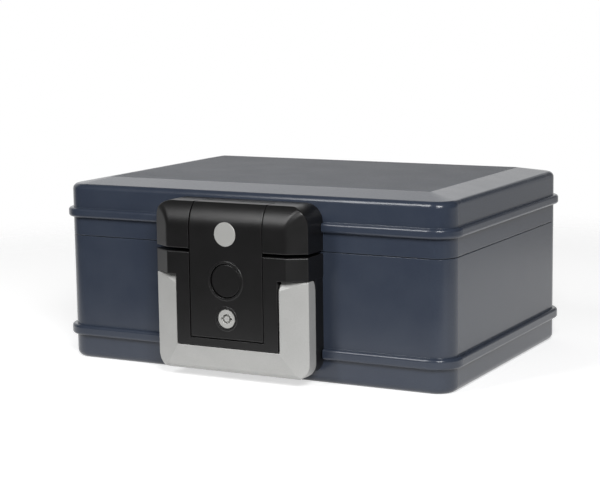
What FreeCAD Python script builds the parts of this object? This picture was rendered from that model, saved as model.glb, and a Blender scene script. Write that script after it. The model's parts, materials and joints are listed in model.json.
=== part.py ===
import FreeCAD, Part
import math
import os

# Portable fireproof box: an insulated body and lid on two rear hinges, with a hinged
# locking hasp, a push button, a tubular key lock and a swinging carry handle in front.
# Millimetres, +Z up, +X to the right. The origin is the centre of the shell's underside,
# and the front wall faces -Y.

# Outer shell
SHELL_W = 360.0
SHELL_D = 252.0
SHELL_CORNER_R = 17.0
SHELL_T = 3.0
BODY_H = 107.9
SEAM_GAP = 0.6
LID_WALL_H = 43.5
PANEL_RISE = 5.0
PANEL_INSET = 28.0
PANEL_CORNER_R = 3.0
TOP_EDGE_R = 5.0
FOOT_EDGE_R = 6.0

# Ribs that run round the body and the lid, and stop at the lock
RIB_OUT = 4.2
RIB_EDGE_R = 2.4
BODY_RIB_Z = 20.5
BODY_RIB_H = 9.0
LID_RIB_UP = 15.5
LID_RIB_H = 8.0
RIB_END_GAP = 0.4

# Insulated walls, liners and the rim seal
WALL_T = 30.0
FLOOR_T = 28.0
LINER_T = 2.5
CAVITY_CORNER_R = 12.0
CAVITY_FLOOR_R = 5.0
FLANGE_T = 3.0
LID_RECESS_H = 14.0
TONGUE_IN = 9.0
TONGUE_W = 4.0
TONGUE_H = 3.0
GROOVE_SIDE_GAP = 1.0
SEAL_T = 1.5
SEAL_GAP = 0.3
SEAT_GAP = 0.1

# Rear hinges
HINGE_INSET = 70.0
HINGE_W = 60.0
KNUCKLE_WALL_GAP = 1.0
KNUCKLE_R = 6.0
KNUCKLE_GAP = 0.5
CENTRE_KNUCKLE_W = 26.0
LEAF_T = 3.0
LOWER_LEAF_H = 40.0
LEAF_EDGE_GAP = 0.8
LEAF_SCREW_X = 20.0
LOWER_SCREW_DROP = 26.0
UPPER_SCREW_RISE = 10.0
HINGE_PIN_R = 2.0
PIN_HEAD_R = 3.4
PIN_HEAD_T = 1.5
PIN_PLAY = 0.05

# Screws
SCREW_R = 1.75
SCREW_HEAD_R = 3.2
SCREW_HEAD_T = 2.0
RECESS_L = 3.6
RECESS_W = 0.9
RECESS_DEPTH = 1.1
SCREW_BITE = 8.0
SCREW_PLAY = 0.1

# Front of the lock unit, measured outwards from the front wall
LOCK_W = 141.0
LOCK_FLAT_W = 110.0
LOCK_OUT = 35.0
LOCK_EDGE_OUT = 25.8
LOCK_GAP = 2.7
LOCK_SCREW_INSET = 9.5

# Cover on the lid that carries the hasp
COVER_DROP = 4.7
COVER_CORNER_R = 15.0
COVER_EDGE_R = 1.0
COVER_CREASE_R = 8.0
COVER_SIDE_T = 5.0
COVER_CHEEK_T = 3.5
COVER_BACK_T = 4.0
COVER_POCKET_DROP = 9.0
ROLL_R = 25.0
ROLL_IN = 10.0
LIP_OUT = 11.5
LIP_T = 2.0
COVER_SCREW_RISE = 10.0
COVER_SCREW_DROP = 6.0

# Base on the body that takes the hasp and the handle
BRIDGE_H = 18.85
BLOCK_FLOOR_T = 6.0
BASE_PLATE_RISE = 1.8
BASE_PLATE_OUT = 13.8
BASE_PLATE_INSET = 0.5
BASE_PLATE_CORNER_R = 12.0
BASE_WALL = 3.0
BASE_BACK_T = 5.0
BASE_EDGE_R = 1.0
BASE_SCREW_DROP = 8.0
BASE_SCREW_RISE = 8.0

# Hasp
HASP_W = 67.4
HASP_GAP = 0.8
HASP_ROOM = 9.0
HASP_SKIN = 3.0
HASP_SIDE_T = 2.5
HASP_WEB_T = 5.0
HASP_EDGE_R = 0.8
HASP_PIN_IN = 13.0
HASP_PIN_R = 2.0
SWEEP_GAP = 0.6
BACK_PLATE_T = 2.0
BACK_PLATE_TOP_DROP = 30.7
BOSS_R = 3.5
BOSS_INSET = 5.0

# Badge disc
BADGE_DROP = 24.3
BADGE_R = 9.8
BADGE_T = 1.6
BADGE_PROUD = 0.4
BADGE_EDGE_R = 0.3

# Release button, its spring and the catch that it opens
BUTTON_DROP = 21.85
BUTTON_R = 13.5
BUTTON_GAP = 0.7
BUTTON_SINK = 0.3
BUTTON_EDGE_R = 0.8
BUTTON_FLANGE_R = 16.0
BUTTON_FLANGE_T = 3.0
RUNNING_GAP = 0.3
STEM_R = 4.0
STEM_ROOM = 4.6
COLLAR_T = 1.2
COLLAR_FLANGE_R = 7.0
COLLAR_FLANGE_T = 1.5
SPRING_R = 6.6
SPRING_WIRE_R = 0.5
SPRING_TURNS = 5
CLIP_T = 0.8
CLIP_H = 9.0
CLIP_LEAF_X = 9.4
CLIP_FOOT_W = 6.0
CLIP_BARB_W = 2.8
CLIP_TAB_TIP_X = 1.4

# Raised rims round the button and the key lock
RIM_W = 2.0
RIM_PROUD = 0.6

# Key lock
KEY_DROP = 31.0
KEY_RISE = 16.8
KEY_FACE_R = 7.75
KEY_FACE_T = 1.5
KEY_FACE_SINK = 0.3
KEY_FACE_GAP = 0.5
KEY_BODY_R = 6.5
KEY_BODY_GAP = 1.0
KEYWAY_R = 3.9
KEYWAY_DEPTH = 5.0
KEY_POST_R = 2.3
KEY_NOTCH_W = 1.8
KEY_NOTCH_OUT = 1.2
PLUG_TAIL_R = 3.0
NUT_ACROSS = 17.0
NUT_T = 3.0
NUT_SIDES = 6
CAM_T = 2.0
CAM_W = 10.0
CAM_END_R = 4.5
CAM_BITE = 2.9
CAM_GAP = 1.0
CAM_SLOT_GAP = 1.0

# Carry handle
HANDLE_INNER_W = 95.0
HANDLE_BAR_H = 22.4
HANDLE_GAP = 0.5
HANDLE_BAR_GAP = 0.8
HANDLE_CORNER_R = 13.0
HANDLE_EDGE_R = 0.8
HANDLE_BAR_LEAN = 6.0
HANDLE_BAR_ROUND = 7.0
HANDLE_FLAT_SINK = 0.6
HANDLE_CREASE_IN = 1.0
PIVOT_IN = 7.4
HEEL_GAP = 0.5
FACET_RISE = -0.7
FACET_TOP_OUT = 2.0
HANDLE_PIN_R = 2.5
HANDLE_PIN_WALL = 5.0
HANDLE_PIN_IN_ARM = 10.0
HANDLE_POCKET_WALL = 3.5
HANDLE_POCKET_DROP = 16.0

# Heights and places that follow from the sizes above
LID_Z = BODY_H + SEAM_GAP
LID_EDGE_Z = LID_Z + LID_WALL_H
PANEL_Z = LID_EDGE_Z + PANEL_RISE
LID_RIB_Z = LID_Z + LID_RIB_UP
SEAM_Z = BODY_H + SEAM_GAP / 2
CAVITY_W = SHELL_W - 2 * WALL_T
CAVITY_D = SHELL_D - 2 * WALL_T
GROOVE_DEPTH = TONGUE_H - SEAM_GAP + SEAL_GAP + SEAL_T
FRONT_Y = -SHELL_D / 2
BACK_Y = SHELL_D / 2
HINGE_X = SHELL_W / 2 - HINGE_INSET
HINGE_Y = BACK_Y + KNUCKLE_R + KNUCKLE_WALL_GAP
HINGE_Z = SEAM_Z

# The hasp's bay, hasp and key lock hang from the seam
LOCK_HALF = LOCK_W / 2
COVER_Z = SEAM_Z + LOCK_GAP / 2
COVER_TOP_Z = LID_EDGE_Z - COVER_DROP
BASE_TOP_Z = SEAM_Z - LOCK_GAP / 2
BUTTON_Z = BASE_TOP_Z - BUTTON_DROP
KEY_Z = BUTTON_Z - KEY_DROP
HASP_Z = KEY_Z - KEY_RISE
HASP_BAY_Z = HASP_Z - HASP_GAP
HASP_HALF = HASP_W / 2
HASP_BAY_HALF = HASP_HALF + HASP_GAP
LOCK_SCREW_X = HASP_BAY_HALF - LOCK_SCREW_INSET
HASP_BACK_OUT = BASE_BACK_T + HASP_ROOM
ROLL_Z = COVER_TOP_Z - math.sqrt(ROLL_R ** 2 - (ROLL_R - ROLL_IN) ** 2)
HASP_AXIS_Z = COVER_TOP_Z - HASP_PIN_IN
HASP_AXIS_OUT = LOCK_OUT - HASP_PIN_IN
HASP_SWEEP_R = math.hypot(HASP_AXIS_OUT - HASP_BACK_OUT, HASP_PIN_IN)
BADGE_Z = COVER_TOP_Z - BADGE_DROP
BACK_PLATE_OUT = HASP_BACK_OUT + SEAT_GAP
BACK_PLATE_FRONT_OUT = BACK_PLATE_OUT + BACK_PLATE_T
BACK_PLATE_TOP_Z = COVER_TOP_Z - BACK_PLATE_TOP_DROP
BUTTON_BACK_OUT = LOCK_OUT - HASP_SKIN - RUNNING_GAP - BUTTON_FLANGE_T
STEM_END_OUT = BASE_BACK_T + STEM_ROOM
KEY_FACE_OUT = LOCK_OUT - KEY_FACE_SINK
KEY_BACK_OUT = BACK_PLATE_FRONT_OUT + KEY_BODY_GAP
CAM_REACH = KEY_Z - HASP_BAY_Z + CAM_BITE
CAM_SWEEP_R = math.hypot(CAM_REACH, CAM_W / 2)
CAM_FRONT_OUT = BACK_PLATE_OUT - CAM_GAP
CAM_BACK_OUT = CAM_FRONT_OUT - CAM_T
CAM_SLOT_Z = KEY_Z - CAM_SWEEP_R - CAM_SLOT_GAP

# The handle hangs under the base's bridge, round the block that holds the hasp's bay
BRIDGE_Z = BASE_TOP_Z - BRIDGE_H
BLOCK_Z = HASP_BAY_Z - BLOCK_FLOOR_T
HANDLE_INNER_X = HANDLE_INNER_W / 2
BLOCK_HALF = HANDLE_INNER_X - HANDLE_GAP
HANDLE_BAR_TOP_Z = BLOCK_Z - HANDLE_BAR_GAP
HANDLE_Z = HANDLE_BAR_TOP_Z - HANDLE_BAR_H
BASE_PLATE_Z = HANDLE_Z + BASE_PLATE_RISE
HANDLE_FLAT_OUT = LOCK_OUT - HANDLE_FLAT_SINK
HANDLE_BACK_OUT = BASE_PLATE_OUT + HANDLE_GAP
PIVOT_OUT = HANDLE_FLAT_OUT - PIVOT_IN
SWING_R = math.hypot(PIVOT_IN, FACET_RISE)
PIVOT_Z = BRIDGE_Z - HANDLE_GAP - SWING_R
HANDLE_TOP_Z = PIVOT_Z + math.sqrt(SWING_R ** 2 - FACET_TOP_OUT ** 2)
HEEL_R = PIVOT_OUT - HANDLE_BACK_OUT - HEEL_GAP

# How far cutting shapes reach past what they cut, how many times wider than the facet
# its cutting triangle is, how near counts as touching, and the turn in degrees up to which
# a crease counts as soft
OVER = 1.0
SPREAD = 4.0
TOUCH = 1e-6
SOFT_TURN = 35.0


def vector(x, y, z):
    """A point or direction."""
    return FreeCAD.Vector(x, y, z)


def out(distance):
    """The Y of a point that lies a distance in front of the front wall."""
    return FRONT_Y - distance


def block(x_from, x_to, y_from, y_to, z_from, z_to):
    """A box between two values on each axis."""
    low = vector(min(x_from, x_to), min(y_from, y_to), min(z_from, z_to))
    size = (abs(x_to - x_from), abs(y_to - y_from), abs(z_to - z_from))
    return Part.makeBox(*size, low)


def rod(radius, start, end):
    """A round rod from one point to another."""
    span = end - start
    return Part.makeCylinder(radius, span.Length, start, span)


def front_rod(radius, z, p_from, p_to):
    """A round rod on the box's middle plane, from one distance out to another."""
    return rod(radius, vector(0, out(p_from), z), vector(0, out(p_to), z))


def outline(corners, place):
    """A closed wire through corners (u, v, radius), each rounded to its radius."""
    points = [vector(u, v, 0) for u, v, radius in corners]
    stretches = []
    for number, (u, v, radius) in enumerate(corners):
        here = points[number]
        before = (points[number - 1] - here).normalize()
        after = (points[(number + 1) % len(points)] - here).normalize()
        half = before.getAngle(after) / 2
        reach = radius / math.tan(half)
        bulge = radius / math.sin(half) - radius
        middle = here + (before + after).normalize() * bulge if radius else here
        stretches.append((here + before * reach, middle, here + after * reach, radius))
    edges = []
    for number, (start, middle, end, radius) in enumerate(stretches):
        spots = [place(spot.x, spot.y) for spot in (start, middle, end)]
        if radius:
            edges.append(Part.Arc(*spots).toShape())
        following = stretches[(number + 1) % len(stretches)][0]
        onward = place(following.x, following.y)
        if onward.distanceToPoint(spots[2]) > TOUCH:
            edges.append(Part.LineSegment(spots[2], onward).toShape())
    return Part.Wire(edges)


def plan_prism(corners, z_from, z_to):
    """An upright prism from an outline of (x, distance out, radius)."""
    wire = outline(corners, lambda x, p: vector(x, out(p), z_from))
    return Part.Face(wire).extrude(vector(0, 0, z_to - z_from))


def front_prism(corners, p_from, p_to):
    """A prism that stands out of the front, from an outline of (x, z, radius)."""
    wire = outline(corners, lambda x, z: vector(x, out(p_from), z))
    return Part.Face(wire).extrude(vector(0, p_from - p_to, 0))


def side_prism(corners, half_width):
    """A prism across the front, from an outline of (distance out, z, radius)."""
    wire = outline(corners, lambda p, z: vector(-half_width, out(p), z))
    return Part.Face(wire).extrude(vector(2 * half_width, 0, 0))


def rounded_wire(width, depth, radius, z):
    """A level rectangle with round corners about the Z axis."""
    half_w = width / 2
    half_d = depth / 2
    corners = [(-half_w, -half_d, radius), (half_w, -half_d, radius),
               (half_w, half_d, radius), (-half_w, half_d, radius)]
    return outline(corners, lambda x, y: vector(x, y, z))


def rounded_prism(width, depth, radius, z_from, z_to):
    """An upright prism with round corners about the Z axis."""
    face = Part.Face(rounded_wire(width, depth, radius, z_from))
    return face.extrude(vector(0, 0, z_to - z_from))


def level_edges(shape, z):
    """The edges that lie wholly at one height."""
    return [edge for edge in shape.Edges
            if all(abs(spot.Point.z - z) < TOUCH for spot in edge.Vertexes)
            and abs(edge.CenterOfMass.z - z) < TOUCH]


def both_sides(shape):
    """A shape and its mirror image across the middle of the box."""
    return [shape, shape.mirror(vector(0, 0, 0), vector(1, 0, 0))]


def joined(shapes):
    """One solid out of several that meet."""
    return shapes[0].multiFuse(shapes[1:]).removeSplitter()


def edges_in_front(shape, distance):
    """The edges that lie wholly more than a distance in front of the front wall."""
    return [edge for edge in shape.Edges
            if all(spot.Point.y < out(distance) for spot in edge.Vertexes)]


def sharp_edges(shape, edges):
    """Those of a shape's edges whose two faces turn by more than a soft crease does."""
    sharp = []
    for edge in edges:
        spot = edge.valueAt((edge.FirstParameter + edge.LastParameter) / 2)
        faces = shape.ancestorsOfType(edge, Part.Face)
        normals = [face.normalAt(*face.Surface.parameter(spot)) for face in faces]
        if math.degrees(normals[0].getAngle(normals[-1])) > SOFT_TURN:
            sharp.append(edge)
    return sharp


def face_rim(disc, face_out):
    """The edge round a disc's face, a distance in front of the front wall."""
    return [edge for edge in disc.Edges if abs(edge.CenterOfMass.y - out(face_out)) < TOUCH]


def screw(seat, inward, length):
    """A cross-head screw whose head sits on the seat and whose shank goes inwards."""
    head = Part.makeCylinder(SCREW_HEAD_R, SCREW_HEAD_T, seat, inward * -1)
    rim = [edge for edge in head.Edges
           if abs((edge.CenterOfMass - seat).dot(inward) + SCREW_HEAD_T) < TOUCH]
    head = head.makeFillet(SCREW_HEAD_T / 2, rim)
    body = head.fuse(Part.makeCylinder(SCREW_R, length, seat, inward)).removeSplitter()
    on_top = FreeCAD.Placement(seat - inward * SCREW_HEAD_T, FreeCAD.Rotation(vector(0, 0, 1), inward))
    for bar_l, bar_w in ((RECESS_L, RECESS_W), (RECESS_W, RECESS_L)):
        bar = Part.makeBox(bar_l, bar_w, RECESS_DEPTH + OVER, vector(-bar_l / 2, -bar_w / 2, -OVER))
        bar.Placement = on_top
        body = body.cut(bar)
    return body


def drilled(shape, places, radius=SCREW_R + SCREW_PLAY):
    """A shape with a hole for each screw of a group."""
    for seat, inward, length in places:
        start = seat - inward * OVER
        shape = shape.cut(Part.makeCylinder(radius, length + OVER + SCREW_PLAY, start, inward))
    return shape


def base_screw_places():
    """Screws through the back of the lock base into the body."""
    length = BASE_BACK_T + SHELL_T + SCREW_BITE
    heights = (BASE_TOP_Z - BASE_SCREW_DROP, HASP_BAY_Z + BASE_SCREW_RISE)
    return [(vector(side * LOCK_SCREW_X, out(BASE_BACK_T), z), vector(0, 1, 0), length)
            for side in (-1, 1) for z in heights]


def cover_screw_places():
    """Screws through the back of the hasp cover into the lid, with sunk heads."""
    seat_out = COVER_BACK_T - SCREW_HEAD_T
    length = seat_out + SHELL_T + SCREW_BITE
    heights = (COVER_Z + COVER_SCREW_RISE, COVER_TOP_Z - COVER_SCREW_DROP)
    return [(vector(side * LOCK_SCREW_X, out(seat_out), z), vector(0, 1, 0), length)
            for side in (-1, 1) for z in heights]


def hinge_screw_places(z):
    """Screws through the hinge leaves at one height."""
    length = LEAF_T + SHELL_T + SCREW_BITE
    return [(vector(side * HINGE_X + shift, BACK_Y + LEAF_T, z), vector(0, -1, 0), length)
            for side in (-1, 1) for shift in (-LEAF_SCREW_X, LEAF_SCREW_X)]


def hasp_screw_places():
    """Screws that hold the hasp's back plate."""
    x = HASP_HALF - HASP_SIDE_T - BOSS_INSET
    heights = (HASP_Z + HASP_SIDE_T + BOSS_INSET, BACK_PLATE_TOP_Z - BOSS_INSET)
    return [(vector(side * x, out(BACK_PLATE_OUT), z), vector(0, -1, 0), BACK_PLATE_T + SCREW_BITE)
            for side in (-1, 1) for z in heights]


def lower_hinge_places():
    """Screws through the hinges' leaves on the body."""
    return hinge_screw_places(HINGE_Z - LOWER_SCREW_DROP)


def upper_hinge_places():
    """Screws through the hinges' leaves on the lid."""
    return hinge_screw_places(HINGE_Z + UPPER_SCREW_RISE)


def rib(z, height):
    """A rounded rib round the shell, stopped where the lock stands."""
    grown = 2 * RIB_OUT
    ring = rounded_prism(SHELL_W + grown, SHELL_D + grown, SHELL_CORNER_R + RIB_OUT, z, z + height)
    ring = ring.makeFillet(RIB_EDGE_R, level_edges(ring, z) + level_edges(ring, z + height))
    half = LOCK_HALF + RIB_END_GAP
    return ring.cut(block(-half, half, out(RIB_OUT + OVER), out(0), z - OVER, z + height + OVER))


def body_shell():
    """The body's outer tub."""
    shell = rounded_prism(SHELL_W, SHELL_D, SHELL_CORNER_R, 0, BODY_H)
    shell = shell.makeFillet(FOOT_EDGE_R, level_edges(shell, 0))
    shell = joined([shell, rib(BODY_RIB_Z, BODY_RIB_H)])
    inside = rounded_prism(SHELL_W - 2 * SHELL_T, SHELL_D - 2 * SHELL_T,
                           SHELL_CORNER_R - SHELL_T, SHELL_T, BODY_H + OVER)
    shell = drilled(shell.cut(inside), base_screw_places())
    return drilled(shell, lower_hinge_places())


def cavity_prism(grow, z_from, z_to):
    """The storage space's outline, grown all round."""
    return rounded_prism(CAVITY_W + 2 * grow, CAVITY_D + 2 * grow, CAVITY_CORNER_R + grow, z_from, z_to)


def rim_ring(grow_in, grow_out, z_from, z_to):
    """A ring round the storage space, between two distances from its edge."""
    return cavity_prism(grow_out, z_from, z_to).cut(cavity_prism(grow_in, z_from - OVER, z_to + OVER))


def inner_prism(z_from, z_to):
    """What fits inside the outer shell's walls."""
    trim = 2 * (SHELL_T + SEAT_GAP)
    corner = SHELL_CORNER_R - SHELL_T - SEAT_GAP
    return rounded_prism(SHELL_W - trim, SHELL_D - trim, corner, z_from, z_to)


def body_liner():
    """The inner tub, with a flange over the insulation and a tongue for the lid's groove."""
    tub = cavity_prism(LINER_T, FLOOR_T - LINER_T, BODY_H)
    flange = inner_prism(BODY_H - FLANGE_T, BODY_H)
    tongue = rim_ring(TONGUE_IN, TONGUE_IN + TONGUE_W, BODY_H - OVER, BODY_H + TONGUE_H)
    space = cavity_prism(0, FLOOR_T, BODY_H + TONGUE_H + OVER)
    space = space.makeFillet(CAVITY_FLOOR_R, level_edges(space, FLOOR_T))
    return joined([tub, flange, tongue]).cut(space)


def body_insulation():
    """The fire-resistant fill between the body's shell and its liner."""
    fill = inner_prism(SHELL_T + SEAT_GAP, BODY_H - FLANGE_T - SEAT_GAP)
    fill = fill.cut(cavity_prism(LINER_T + SEAT_GAP, FLOOR_T - LINER_T - SEAT_GAP, BODY_H))
    return drilled(drilled(fill, base_screw_places()), lower_hinge_places())


def lid_form(inset):
    """The lid's outer form, or the space inside its walls."""
    width = SHELL_W - 2 * inset
    depth = SHELL_D - 2 * inset
    corner = SHELL_CORNER_R - inset
    edge_z = LID_EDGE_Z - inset
    wall = rounded_prism(width, depth, corner, LID_Z, edge_z)
    edge = rounded_wire(width, depth, corner, edge_z)
    panel_w = SHELL_W - 2 * PANEL_INSET
    panel_d = SHELL_D - 2 * PANEL_INSET
    panel = rounded_wire(panel_w, panel_d, PANEL_CORNER_R, PANEL_Z - inset)
    return joined([wall, Part.makeLoft([edge, panel], True, True)])


def lid_shell():
    """The lid's outer cap, with a sloping border round the raised top panel."""
    shell = lid_form(0)
    shell = shell.makeFillet(TOP_EDGE_R, level_edges(shell, LID_EDGE_Z))
    shell = joined([shell, rib(LID_RIB_Z, LID_RIB_H)])
    inside = lid_form(SHELL_T)
    mouth = rounded_prism(SHELL_W - 2 * SHELL_T, SHELL_D - 2 * SHELL_T,
                          SHELL_CORNER_R - SHELL_T, LID_Z - OVER, LID_Z + OVER)
    shell = drilled(shell.cut(joined([inside, mouth])), cover_screw_places())
    return drilled(shell, upper_hinge_places())


def lid_liner_form(grow):
    """The lid liner's upper surface, grown by a gap: flange, tray and the bead over the groove."""
    bead_in = TONGUE_IN - GROOVE_SIDE_GAP - LINER_T - grow
    bead_out = TONGUE_IN + TONGUE_W + GROOVE_SIDE_GAP + LINER_T + grow
    bead_top = LID_Z + GROOVE_DEPTH + LINER_T + grow
    tray_top = LID_Z + LID_RECESS_H + LINER_T + grow
    return joined([inner_prism(LID_Z, LID_Z + FLANGE_T + grow),
                   rim_ring(bead_in, bead_out, LID_Z, bead_top),
                   cavity_prism(LINER_T + grow, LID_Z, tray_top)])


def lid_liner():
    """The lid's inner tray, with a groove for the body's tongue."""
    groove = rim_ring(TONGUE_IN - GROOVE_SIDE_GAP, TONGUE_IN + TONGUE_W + GROOVE_SIDE_GAP,
                      LID_Z - OVER, LID_Z + GROOVE_DEPTH)
    recess = cavity_prism(0, LID_Z - OVER, LID_Z + LID_RECESS_H)
    recess = recess.makeFillet(CAVITY_FLOOR_R, level_edges(recess, LID_Z + LID_RECESS_H))
    return lid_liner_form(0).cut(groove).cut(recess)


def lid_seal():
    """The heat-swelling strip at the top of the lid's groove."""
    inner = TONGUE_IN - GROOVE_SIDE_GAP + SEAT_GAP
    outer = TONGUE_IN + TONGUE_W + GROOVE_SIDE_GAP - SEAT_GAP
    top = LID_Z + GROOVE_DEPTH
    return rim_ring(inner, outer, top - SEAL_T, top)


def lid_insulation():
    """The fire-resistant fill between the lid's shell and its liner."""
    fill = lid_form(SHELL_T + SEAT_GAP)
    fill = fill.cut(lid_liner_form(SEAT_GAP))
    fill = fill.cut(inner_prism(LID_Z - OVER, LID_Z + FLANGE_T + SEAT_GAP))
    return drilled(drilled(fill, cover_screw_places()), upper_hinge_places())


def hinge_rod(x, radius, x_from, x_to):
    """A rod on the hinge axis, between two places across one hinge."""
    return rod(radius, vector(x + x_from, HINGE_Y, HINGE_Z), vector(x + x_to, HINGE_Y, HINGE_Z))


def hinge_lower_leaf(x):
    """The body's hinge leaf, with a knuckle at each end."""
    half = HINGE_W / 2
    inner = CENTRE_KNUCKLE_W / 2 + KNUCKLE_GAP
    plate_top = HINGE_Z - KNUCKLE_R - KNUCKLE_GAP
    pieces = [block(x - half, x + half, BACK_Y, BACK_Y + LEAF_T, HINGE_Z - LOWER_LEAF_H, plate_top)]
    for x_from, x_to in ((-half, -inner), (inner, half)):
        pieces.append(hinge_rod(x, KNUCKLE_R, x_from, x_to))
        pieces.append(block(x + x_from, x + x_to, BACK_Y, HINGE_Y, HINGE_Z - KNUCKLE_R, HINGE_Z))
        pieces.append(block(x + x_from, x + x_to, BACK_Y, BACK_Y + LEAF_T, plate_top, HINGE_Z))
    leaf = joined(pieces)
    bore = hinge_rod(x, HINGE_PIN_R + PIN_PLAY, -half - OVER, half + OVER)
    return drilled(leaf.cut(bore), lower_hinge_places())


def hinge_upper_leaf(x):
    """The lid's hinge leaf, with one knuckle in the middle."""
    half = HINGE_W / 2
    inner = CENTRE_KNUCKLE_W / 2
    plate_low = HINGE_Z + KNUCKLE_R
    plate_top = LID_RIB_Z - LEAF_EDGE_GAP
    low = LID_Z + LEAF_EDGE_GAP
    pieces = [block(x - half, x + half, BACK_Y, BACK_Y + LEAF_T, plate_low, plate_top),
              hinge_rod(x, KNUCKLE_R, -inner, inner),
              block(x - inner, x + inner, BACK_Y, HINGE_Y, low, HINGE_Z + KNUCKLE_R)]
    bore = hinge_rod(x, HINGE_PIN_R + PIN_PLAY, -inner - OVER, inner + OVER)
    return drilled(joined(pieces).cut(bore), upper_hinge_places())


def hinge_pin(x):
    """The steel pin through one hinge's knuckles, with a head at its outer end."""
    half = HINGE_W / 2
    side = math.copysign(1, x)
    pin = hinge_rod(x, HINGE_PIN_R, -half, half)
    head = hinge_rod(x, PIN_HEAD_R, side * half, side * (half + PIN_HEAD_T))
    return joined([pin, head])


def lock_plan(z_from, z_to):
    """The lock unit's section: a flat front with flanks that fall back to the sides."""
    flat = LOCK_FLAT_W / 2
    corners = [(-LOCK_HALF, 0, 0), (-LOCK_HALF, LOCK_EDGE_OUT, 0), (-flat, LOCK_OUT, 0),
               (flat, LOCK_OUT, 0), (LOCK_HALF, LOCK_EDGE_OUT, 0), (LOCK_HALF, 0, 0)]
    return plan_prism(corners, z_from, z_to)


def rolled_prism(p_back, z_low, skin, half_width):
    """A prism across the lock unit, inside a skin, whose upper front is rolled back to an arris."""
    radius = ROLL_R - skin
    top = COVER_TOP_Z - skin
    turn = math.asin((top - ROLL_Z) / radius)

    def spot(p, z):
        return vector(-half_width, out(p), z)

    def on_roll(angle):
        return spot(LOCK_OUT - ROLL_R + radius * math.cos(angle), ROLL_Z + radius * math.sin(angle))

    corners = [on_roll(turn), spot(p_back, top), spot(p_back, z_low),
               spot(LOCK_OUT - skin, z_low), on_roll(0)]
    edges = [Part.LineSegment(start, end).toShape() for start, end in zip(corners, corners[1:])]
    edges.append(Part.Arc(on_roll(0), on_roll(turn / 2), on_roll(turn)).toShape())
    return Part.Face(Part.Wire(edges)).extrude(vector(2 * half_width, 0, 0))


def hasp_axis_rod(radius, x_from, x_to):
    """A rod on the hasp's hinge axis."""
    y = out(HASP_AXIS_OUT)
    return rod(radius, vector(x_from, y, HASP_AXIS_Z), vector(x_to, y, HASP_AXIS_Z))


def latch_cover():
    """The black cover on the lid: two shoulders with the hasp's bay between them."""
    corners = [(-LOCK_HALF, COVER_Z, 0), (LOCK_HALF, COVER_Z, 0),
               (LOCK_HALF, COVER_TOP_Z, COVER_CORNER_R), (-LOCK_HALF, COVER_TOP_Z, COVER_CORNER_R)]
    cover = front_prism(corners, 0, LOCK_OUT)
    cover = cover.common(lock_plan(COVER_Z, COVER_TOP_Z)).common(rolled_prism(0, COVER_Z, 0, LOCK_HALF))
    cover = cover.makeFillet(COVER_CREASE_R, cover_creases(cover))
    cover = cover.makeFillet(COVER_EDGE_R, sharp_edges(cover, edges_in_front(cover, COVER_EDGE_R)))
    half = HASP_BAY_HALF
    front = out(LOCK_OUT + OVER)
    cover = cover.cut(block(-half, half, out(COVER_BACK_T), front, COVER_Z - OVER, COVER_TOP_Z - LIP_T))
    cover = cover.cut(block(-half, half, out(LIP_OUT), front, HASP_AXIS_Z, COVER_TOP_Z + OVER))
    cover = cover.cut(hasp_axis_rod(HASP_SWEEP_R + SWEEP_GAP, -half, half))
    cheek = HASP_BAY_HALF + COVER_CHEEK_T
    pocket = block(cheek, LOCK_HALF - COVER_SIDE_T, out(-OVER), out(LOCK_EDGE_OUT - COVER_SIDE_T),
                   COVER_Z + COVER_CHEEK_T, COVER_TOP_Z - COVER_POCKET_DROP)
    for hollow in both_sides(pocket):
        cover = cover.cut(hollow)
    cover = cover.cut(hasp_axis_rod(HASP_PIN_R + SEAT_GAP / 2, -cheek - OVER, cheek + OVER))
    for seat, inward, length in cover_screw_places():
        sink = rod(SCREW_HEAD_R + SCREW_PLAY, seat, seat - inward * (SCREW_HEAD_T + OVER))
        cover = cover.cut(sink)
    return drilled(cover, cover_screw_places())


def cover_creases(cover):
    """The cover's creases between its front, with the roll above it, and its two flanks."""
    flat = LOCK_FLAT_W / 2
    return [edge for edge in edges_in_front(cover, LOCK_EDGE_OUT - COVER_EDGE_R)
            if flat - TOUCH < abs(edge.CenterOfMass.x) < LOCK_HALF - COVER_CORNER_R / 2
            and edge.BoundBox.ZLength > ROLL_IN]


def hasp_pin():
    """The steel pin that the hasp turns on, held in the cover's cheeks."""
    half = HASP_BAY_HALF + COVER_CHEEK_T
    return hasp_axis_rod(HASP_PIN_R, -half, half)


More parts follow.
